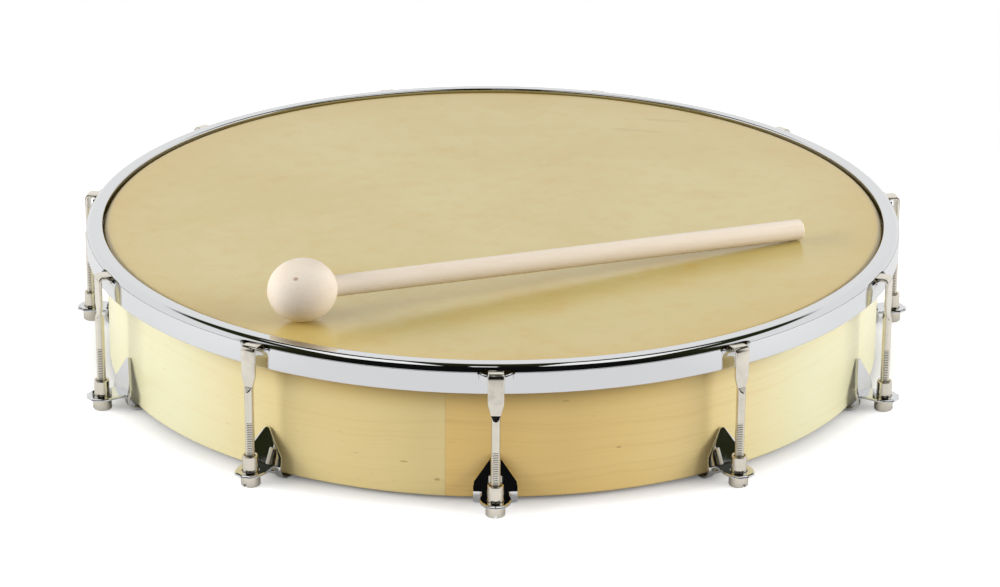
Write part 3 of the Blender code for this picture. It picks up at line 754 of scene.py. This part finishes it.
def buildNuts(material):
    sleeve = nut["sleeve"]
    head = nut["head"]
    chamfer = nut["chamfer"]
    bore = nut["bore"]
    top = nut["top"]
    profile = [(bore + 0.28, top), (sleeve - chamfer - 0.06, top)]
    profile += arc((sleeve - chamfer, top - chamfer), chamfer, 80, 0, 4)
    profile += [(sleeve, nut["headTop"] + 0.05), (sleeve + 0.05, nut["headTop"])]
    profile += arc((head - 0.25, nut["headTop"] - 0.25), 0.25, 90, 0, 3)
    profile += arc((head - nut["headRound"], nut["headRound"]), nut["headRound"], 0, -90, 5)
    profile += [(bore, 0.0), (bore, top - 0.35)]
    obj = looseObject("nutBlank", turned("nutBlank", profile, 48))
    shape = bmesh.new()
    bmesh.ops.create_cube(shape, size=1.0)
    wide = nut["slotWide"] * mm
    deep = nut["slotDeep"] * mm
    bmesh.ops.scale(shape, vec=(wide, 0.02, 2 * deep), verts=shape.verts)
    mesh = cutWith(obj, meshFrom(shape, "driverSlot"))
    mesh.transform(Matrix.Translation((0, -rodCircle * mm, 0)))
    for station in range(stationCount):
        name = f"sleeveNut{station + 1:02d}"
        piece = showPiece(name, atStation(mesh, station, name), material, 30)
        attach(piece, f"nut_{station + 1:02d}_body")
        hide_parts(f"nut_{station + 1:02d}")


bracket = {
    "sheet": 1.1, "halfWidth": 9.15, "apex": 21.6, "apexRound": 1.7, "shoulder": 9.6,
    "lean": 13.5, "bend": 4.8, "lipBend": 1.9, "lipTop": 8.5, "lipHalf": 7.5, "footGap": 0.25,
    "edge": 0.16,
}


def bracketPath():
    # the middle of the sheet, from the plate's apex down and under to the inner lip
    foot = shell["bottom"] - bracket["footGap"] - bracket["sheet"] / 2
    bend = bracket["bend"]
    corner = arc((shellRadius - 0.15, foot + bend), bend, bracket["lean"], -90, 14)
    slope = math.tan(math.radians(bracket["lean"]))
    start = corner[0]
    levels = [bracket["apex"]]
    for drop in (0.12, 0.35, 0.7, 1.1, 1.6, 2.6, 4.0, 6.0, 8.0, 10.0, 11.0, 11.5, 12.0, 12.6, 13.2):
        levels.append(bracket["apex"] - drop)
    while levels[-1] - 0.8 > start[1]:
        levels.append(levels[-1] - 0.8)
    path = [(start[0] - (level - start[1]) * slope, level) for level in levels]
    path += corner
    lipRadius = shell["inner"] - 0.5 - bracket["sheet"] / 2
    lipBend = bracket["lipBend"]
    path += arc((lipRadius + lipBend, foot + lipBend), lipBend, -90, -180, 8)
    lip = foot + lipBend
    for share in (0.3, 0.6, 0.85, 0.95, 1.0):
        path.append((lipRadius, lip + (bracket["lipTop"] - lip) * share))
    return path, len(levels), len(levels) + len(corner)


def plateHalf(level):
    # half the plate's width at a height: a round apex, straight slopes, round shoulders
    radius = bracket["apexRound"]
    top = bracket["apex"] - radius
    wide = bracket["halfWidth"]
    low = bracket["shoulder"]
    slope = math.atan2(wide - radius, top - low)
    if level > top + radius * math.sin(slope):
        return math.sqrt(max(0.0, radius * radius - (level - top) ** 2))
    if level <= low:
        return wide
    start = (radius * math.cos(slope), top + radius * math.sin(slope))
    share = (start[1] - level) / (start[1] - low)
    straight = start[0] + (wide + 0.35 - start[0]) * share
    return min(wide - max(0.0, 0.35 - (level - low) * 0.35), straight)


def plateMesh():
    path, plateEnd, cornerEnd = bracketPath()
    columns = (-1.0, -0.84, -0.667, -0.4, -0.15, 0.15, 0.4, 0.667, 0.84, 1.0)
    shape = bmesh.new()
    rows = []
    for index, (radius, level) in enumerate(path):
        if index < plateEnd:
            half = max(plateHalf(level), 0.25)
        elif index < cornerEnd:
            half = bracket["halfWidth"]
        else:
            share = min(1.0, (index - cornerEnd) / 6)
            half = bracket["halfWidth"] + (bracket["lipHalf"] - bracket["halfWidth"]) * share
            if level > bracket["lipTop"] - 0.9:
                half -= 1.2 * ((level - bracket["lipTop"] + 0.9) / 0.9) ** 2
        rows.append([shape.verts.new((half * c * mm, -radius * mm, level * mm)) for c in columns])
    for index in range(len(rows) - 1):
        level = path[index][1]
        for column in range(len(columns) - 1):
            inWindow = 1 < column < 7 and level <= tongue["top"] - 0.4
            onOutside = path[index + 1][0] > shell["inner"] + 3.0
            if index < cornerEnd and inWindow and onOutside:
                continue
            lower = rows[index + 1]
            upper = rows[index]
            shape.faces.new((upper[column], upper[column + 1], lower[column + 1], lower[column]))
    loose = [vert for vert in shape.verts if not vert.link_faces]
    bmesh.ops.delete(shape, geom=loose, context="VERTS")
    obj = looseObject("bracketPlate", meshFrom(shape, "bracketPlate"))
    wall = obj.modifiers.new("sheet", "SOLIDIFY")
    wall.thickness = bracket["sheet"] * mm
    wall.offset = 0.0
    wall.use_even_offset = True
    soft = obj.modifiers.new("edges", "BEVEL")
    soft.width = bracket["edge"] * mm
    soft.segments = 2
    soft.limit_method = "ANGLE"
    soft.angle_limit = math.radians(50)
    return settled(obj)


tongue = {
    "top": 6.6, "hole": 3.65, "rollWide": 0.5, "rollDeep": 0.22, "frontWide": 0.8, "frontDeep": 0.35,
    "foldFrom": -8.4, "foldRound": 1.7,
    # the outline from the rod's axis, across and outwards, as one half
    "outline": ((0.0, 7.0), (4.0, 6.0), (6.0, 2.7), (6.6, -1.0), (5.7, -6.0), (5.7, -10.2)),
    "directions": 168,
}


def outlineReach(turn):
    # how far the tongue reaches from the rod's axis, turn 0 being straight outwards
    way = (math.sin(turn), math.cos(turn))
    right = tongue["outline"]
    points = list(right) + [(-x, y) for x, y in reversed(right)]
    best = 99.0
    for (x1, y1), (x2, y2) in zip(points, points[1:] + points[:1]):
        dx, dy = x2 - x1, y2 - y1
        divisor = way[0] * dy - way[1] * dx
        if abs(divisor) < 1e-9:
            continue
        reach = (x1 * dy - y1 * dx) / divisor
        share = (x1 * way[1] - y1 * way[0]) / divisor
        if reach > 0 and -1e-6 <= share <= 1 + 1e-6:
            best = min(best, reach)
    return best


def tongueMesh():
    count = tongue["directions"]
    top = tongue["top"]
    bottom = top - bracket["sheet"]
    hole = tongue["hole"]
    shares = (0.12, 0.3, 0.5, 0.66, 0.76, 0.83, 0.89, 0.95)
    sections = []
    for i in range(count):
        turn = math.tau * i / count
        # the rolled edge is broader towards the front
        outwards = max(0.0, math.cos(turn))
        wide = tongue["rollWide"] + tongue["frontWide"] * outwards
        deep = tongue["rollDeep"] + tongue["frontDeep"] * outwards
        reach = sum(outlineReach(turn + step * 0.012) for step in (-1, 0, 1)) / 3
        flat = reach - wide
        line = [(hole, bottom + 0.1), (hole, top - 0.12), (hole + 0.12, top)]
        line += [(hole + 0.12 + (flat - hole - 0.12) * share, top) for share in shares]
        line += [(flat, top), (flat + wide * 0.3, top - deep * 0.12)]
        line += [(flat + wide * 0.6, top - deep * 0.45), (flat + wide * 0.85, top - deep * 0.85)]
        line += [(reach - 0.03, top - deep - 0.1), (reach, top - deep - 0.25)]
        line += [(reach, bottom + 0.12), (reach - 0.12, bottom)]
        line += [(hole + (reach - 0.12 - hole) * share, bottom) for share in shares[::-1]]
        line.append((hole + 0.1, bottom))
        ring = []
        for distance, level in line:
            across = math.sin(turn) * distance
            out = math.cos(turn) * distance
            bend = min(tongue["foldRound"] * 0.98, max(0.0, tongue["foldFrom"] - out))
            round2 = tongue["foldRound"] ** 2
            lift = tongue["foldRound"] - math.sqrt(round2 - bend * bend)
            ring.append((across, -(rodCircle + out), level + lift))
        sections.append(ring)
    return lofted("bracketTongue", sections, True)


def buildBrackets(material):
    both = bmesh.new()
    both.from_mesh(plateMesh())
    both.from_mesh(tongueMesh())
    mesh = bpy.data.meshes.new("bracket")
    both.to_mesh(mesh)
    both.free()
    for station in range(stationCount):
        name = f"shellBracket{station + 1:02d}"
        piece = showPiece(name, atStation(mesh, station, name), material, 35)
        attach(piece, "drum_body")
        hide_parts(f"bracket_{station + 1:02d}")


beater = {
    "ball": 13.5, "ballHalfLength": 14.9, "shaft": 4.5, "end": 4.6, "rim": 0.9, "length": 238.4,
    "socket": 14.0, "place": (-80.7, -131.15), "heading": 24.3,
}


def beaterFrame():
    # it lies on the ball and on the lower rim of the shaft's end
    lift = skinTop + 0.3 + beater["ball"]
    drop = beater["ball"] - beater["end"]
    pitch = math.asin(drop / (beater["length"] - beater["rim"]))
    place = Matrix.Translation((beater["place"][0] * mm, beater["place"][1] * mm, lift * mm))
    heading = Matrix.Rotation(math.radians(beater["heading"]), 4, "Z")
    return place @ heading @ Matrix.Rotation(pitch, 4, "Y")


def buildBeater():
    frameMatrix = beaterFrame()
    material = makeBeaterWood(frameMatrix)
    upright = frameMatrix @ Matrix.Rotation(math.radians(90), 4, "Y")
    ball = beater["ball"] - 0.02
    half = beater["ballHalfLength"] - 0.02
    bore = beater["shaft"] + 0.25
    mouth = half * math.sqrt(1 - (bore / ball) ** 2)
    start = math.degrees(math.asin(mouth / half))
    profile = [(r * ball, z * half) for r, z in arc((0, 0), 1.0, -90, start - 1.5, 60)]
    low = half - beater["socket"]
    profile += [(bore + 0.1, mouth - 0.05), (bore, mouth - 0.3), (bore, low), (0.0, low)]
    mesh = turned("beaterBall", profile, 96, False)
    mesh.transform(upright)
    head = showPiece("beaterBall", mesh, material)
    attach(head, "beater")
    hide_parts("beater_head")
    rim = beater["rim"]
    profile = [(0.0, beater["length"])]
    profile += arc((beater["end"] - rim, beater["length"] - rim), rim, 90, 0, 8)
    profile += [((beater["shaft"] + beater["end"]) / 2, beater["length"] * 0.5)]
    profile += [(beater["shaft"], low + 0.7), (beater["shaft"] - 0.4, low + 0.3), (0.0, low + 0.3)]
    mesh = turned("beaterRod", profile, 64, False)
    mesh.transform(upright)
    rod = showPiece("beaterRod", mesh, material)
    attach(rod, "beater")
    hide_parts("beater_shaft")


studio = {
    "floorRadius": 0.38, "floorShade": (0.55, 0.55, 0.56, 1), "floorLift": 0.12, "edgeLift": 0.6,
    "floorGloss": 0.30, "sideGloss": 0.2, "ambientAbove": 0.27, "ambientBelow": 0.3, "ambientLean": 0.9,
    "roomDark": (0.006, 0.006, 0.006, 1), "sideDark": (0.022, 0.024, 0.009, 1),
}


def buildFloor():
    shape = bmesh.new()
    bmesh.ops.create_circle(shape, cap_ends=True, segments=128, radius=studio["floorRadius"])
    floor = looseObject("floor", meshFrom(shape, "floor"))
    material = bpy.data.materials.new("paleFloor")
    material.use_nodes = True
    finish = Finish(material.node_tree)
    material.node_tree.nodes.clear()
    camera = finish.add("ShaderNodeLightPath", None, None, "Is Camera Ray")
    seen = camera.larger(camera.output("Is Transmission Ray"))
    place, x, y, z = finish.place()
    radius = finish.length(place)
    # painted shade: the floor glows less inside 0.196 m from the middle, which darkens it round the drum's
    # foot on top of its real shadow
    edge = radius.smooth(0.170, 0.196)
    lift = seen * (studio["floorLift"] + edge * studio["edgeLift"])
    # painted reflection: polished metal sees the floor glow, brighter to the left and right and not inside
    # about 0.2 m from the middle
    sides = x.maths("ABSOLUTE", x).smooth(0.17, 0.28) * studio["sideGloss"]
    gloss = (sides + studio["floorGloss"]) * radius.smooth(0.178, 0.205)
    lift = lift + camera.output("Is Glossy Ray") * gloss
    matte = finish.add("ShaderNodeBsdfDiffuse", None, {"Color": studio["floorShade"]})
    glow = finish.add("ShaderNodeEmission", None, {"Color": finish.mix(lift, (0, 0, 0, 1), (1, 1, 1, 1))})
    both = finish.add("ShaderNodeAddShader", None, {0: matte, 1: glow})
    # painted reflection: beyond 0.332 m from the middle polished metal sees the floor end in the dark room,
    # though the camera still sees the floor
    far = camera.output("Is Glossy Ray") * radius.smooth(0.332, 0.350)
    dark = finish.add("ShaderNodeEmission", None, {"Color": studio["roomDark"]})
    shown = finish.add("ShaderNodeMixShader", None, {0: far, 1: both, 2: dark})
    finish.add("ShaderNodeOutputMaterial", None, {"Surface": shown})
    floor.data.materials.append(material)


def softBox(name, place, size, power, aim=None):
    # overhead boxes point straight down; the side ones are aimed and don't show in the metal
    light = bpy.data.lights.new(name, "AREA")
    light.shape = "RECTANGLE"
    light.size, light.size_y = size
    light.energy = power
    obj = bpy.data.objects.new(name, light)
    obj.location = place
    if aim:
        obj.rotation_euler = (Vector(aim) - Vector(place)).to_track_quat("-Z", "Y").to_euler()
        obj.visible_glossy = False
    bpy.context.scene.collection.objects.link(obj)


def buildStudio():
    buildFloor()
    softBox("upperLeftLight", (-0.55, -0.10, 1.5), (0.6, 1.05), 2.4)
    softBox("upperRightLight", (0.52, -0.10, 1.5), (0.6, 1.05), 2.4)
    softBox("upperStrip", (-0.045, -0.45, 1.5), (0.12, 0.3), 0.14)
    softBox("leftLight", (-1.55, -0.28, 0.60), (1.6, 0.5), 33.5, (0, -0.05, 0.03))
    softBox("rightLight", (1.55, -0.28, 0.60), (1.6, 0.5), 32, (0, -0.05, 0.03))
    world = bpy.data.worlds.new("studioRoom")
    bpy.context.scene.world = world
    world.use_nodes = True
    finish = Finish(world.node_tree)
    world.node_tree.nodes.clear()
    camera = finish.add("ShaderNodeLightPath", None, None, "Is Camera Ray")
    glossy = camera.output("Is Glossy Ray")
    direction = finish.add("ShaderNodeTexCoord", None, None, "Generated")
    x, y, z = finish.split(direction)
    # what polished metal shows: pale walls, a dark ceiling and the dark room in front
    level = (1.0 - z * z).larger(0.0001) ** 0.5
    facing = y * -1.0 / level
    front = facing.smooth(0.28, 0.40) * z.smooth(-0.25, -0.18)
    dark = front.larger(z.smooth(0.63, 0.707))
    depth = finish.mix(facing.smooth(0.45, 0.8), studio["sideDark"], studio["roomDark"])
    room = finish.mix(dark, (1.0, 1.0, 1.0, 1), depth)
    above = studio["ambientAbove"]
    below = studio["ambientBelow"]
    rise = z.smooth(0.08, 0.35)
    # more of the soft light comes from the front than from behind
    lean = (1.0 - y * studio["ambientLean"]) * 0.5
    soft = finish.mix(rise * lean, (0.0, 0.0, 0.0, 1), (above * 2, above * 2, above * 2, 1))
    soft = finish.mix(z.smooth(-0.06, 0.0), (below, below, below, 1), soft)
    plain = finish.mix(glossy, soft, room)
    shown = finish.mix(camera, plain, (1, 1, 1, 1))
    background = finish.add("ShaderNodeBackground", None, {"Color": shown, "Strength": 1.0})
    finish.add("ShaderNodeOutputWorld", None, {"Surface": background})


camera = {
    "distance": 1610.5, "elevation": 20.173, "turn": -0.351, "aimTurn": 1.332, "height": 63.9,
    "roll": 0.774, "focal": 3544.24, "pixels": 1000, "shiftX": -76.5, "shiftY": -82.74,
}


def buildCamera():
    turn = Matrix.Rotation(math.radians(camera["turn"]), 3, "Z")
    rise = math.radians(camera["elevation"])
    far = camera["distance"] * mm
    centre = Vector((0, 0, camera["height"] * mm))
    place = turn @ Vector((0, -far * math.cos(rise), far * math.sin(rise)))
    aim = turn @ Vector((far * math.tan(math.radians(camera["aimTurn"])), 0, 0))
    forward = (aim - place).normalized()
    right = forward.cross(Vector((0, 0, 1))).normalized()
    up = right.cross(forward)
    roll = math.radians(camera["roll"])
    side = right * math.cos(roll) + up * math.sin(roll)
    top = up * math.cos(roll) - right * math.sin(roll)
    data = bpy.data.cameras.new("photoView")
    data.sensor_fit = "HORIZONTAL"
    data.sensor_width = 36.0
    data.lens = camera["focal"] / camera["pixels"] * 36.0
    data.shift_x = camera["shiftX"] / camera["pixels"]
    data.shift_y = camera["shiftY"] / camera["pixels"]
    data.clip_end = 60
    obj = bpy.data.objects.new("photoView", data)
    basis = Matrix((side, top, -forward)).transposed()
    obj.matrix_world = Matrix.Translation(centre + place) @ basis.to_4x4()
    bpy.context.scene.collection.objects.link(obj)
    bpy.context.scene.camera = obj


buildCamera()
print("camera set")
birch = makeShellWood()
chrome = makeChrome()
nickel = makeNickel()
buildShell(birch)
buildSkin(makeSkinFinish())
buildFleshHoop(birch)
print("shell and skin built")
buildCounterHoop(chrome)
buildHooks(nickel)
print("hoop and hooks built")
buildNuts(nickel)
buildBrackets(chrome)
print("nuts and brackets built")
buildBeater()
buildStudio()
print("beater and studio built")
bpy.context.scene.view_settings.view_transform = "Standard"
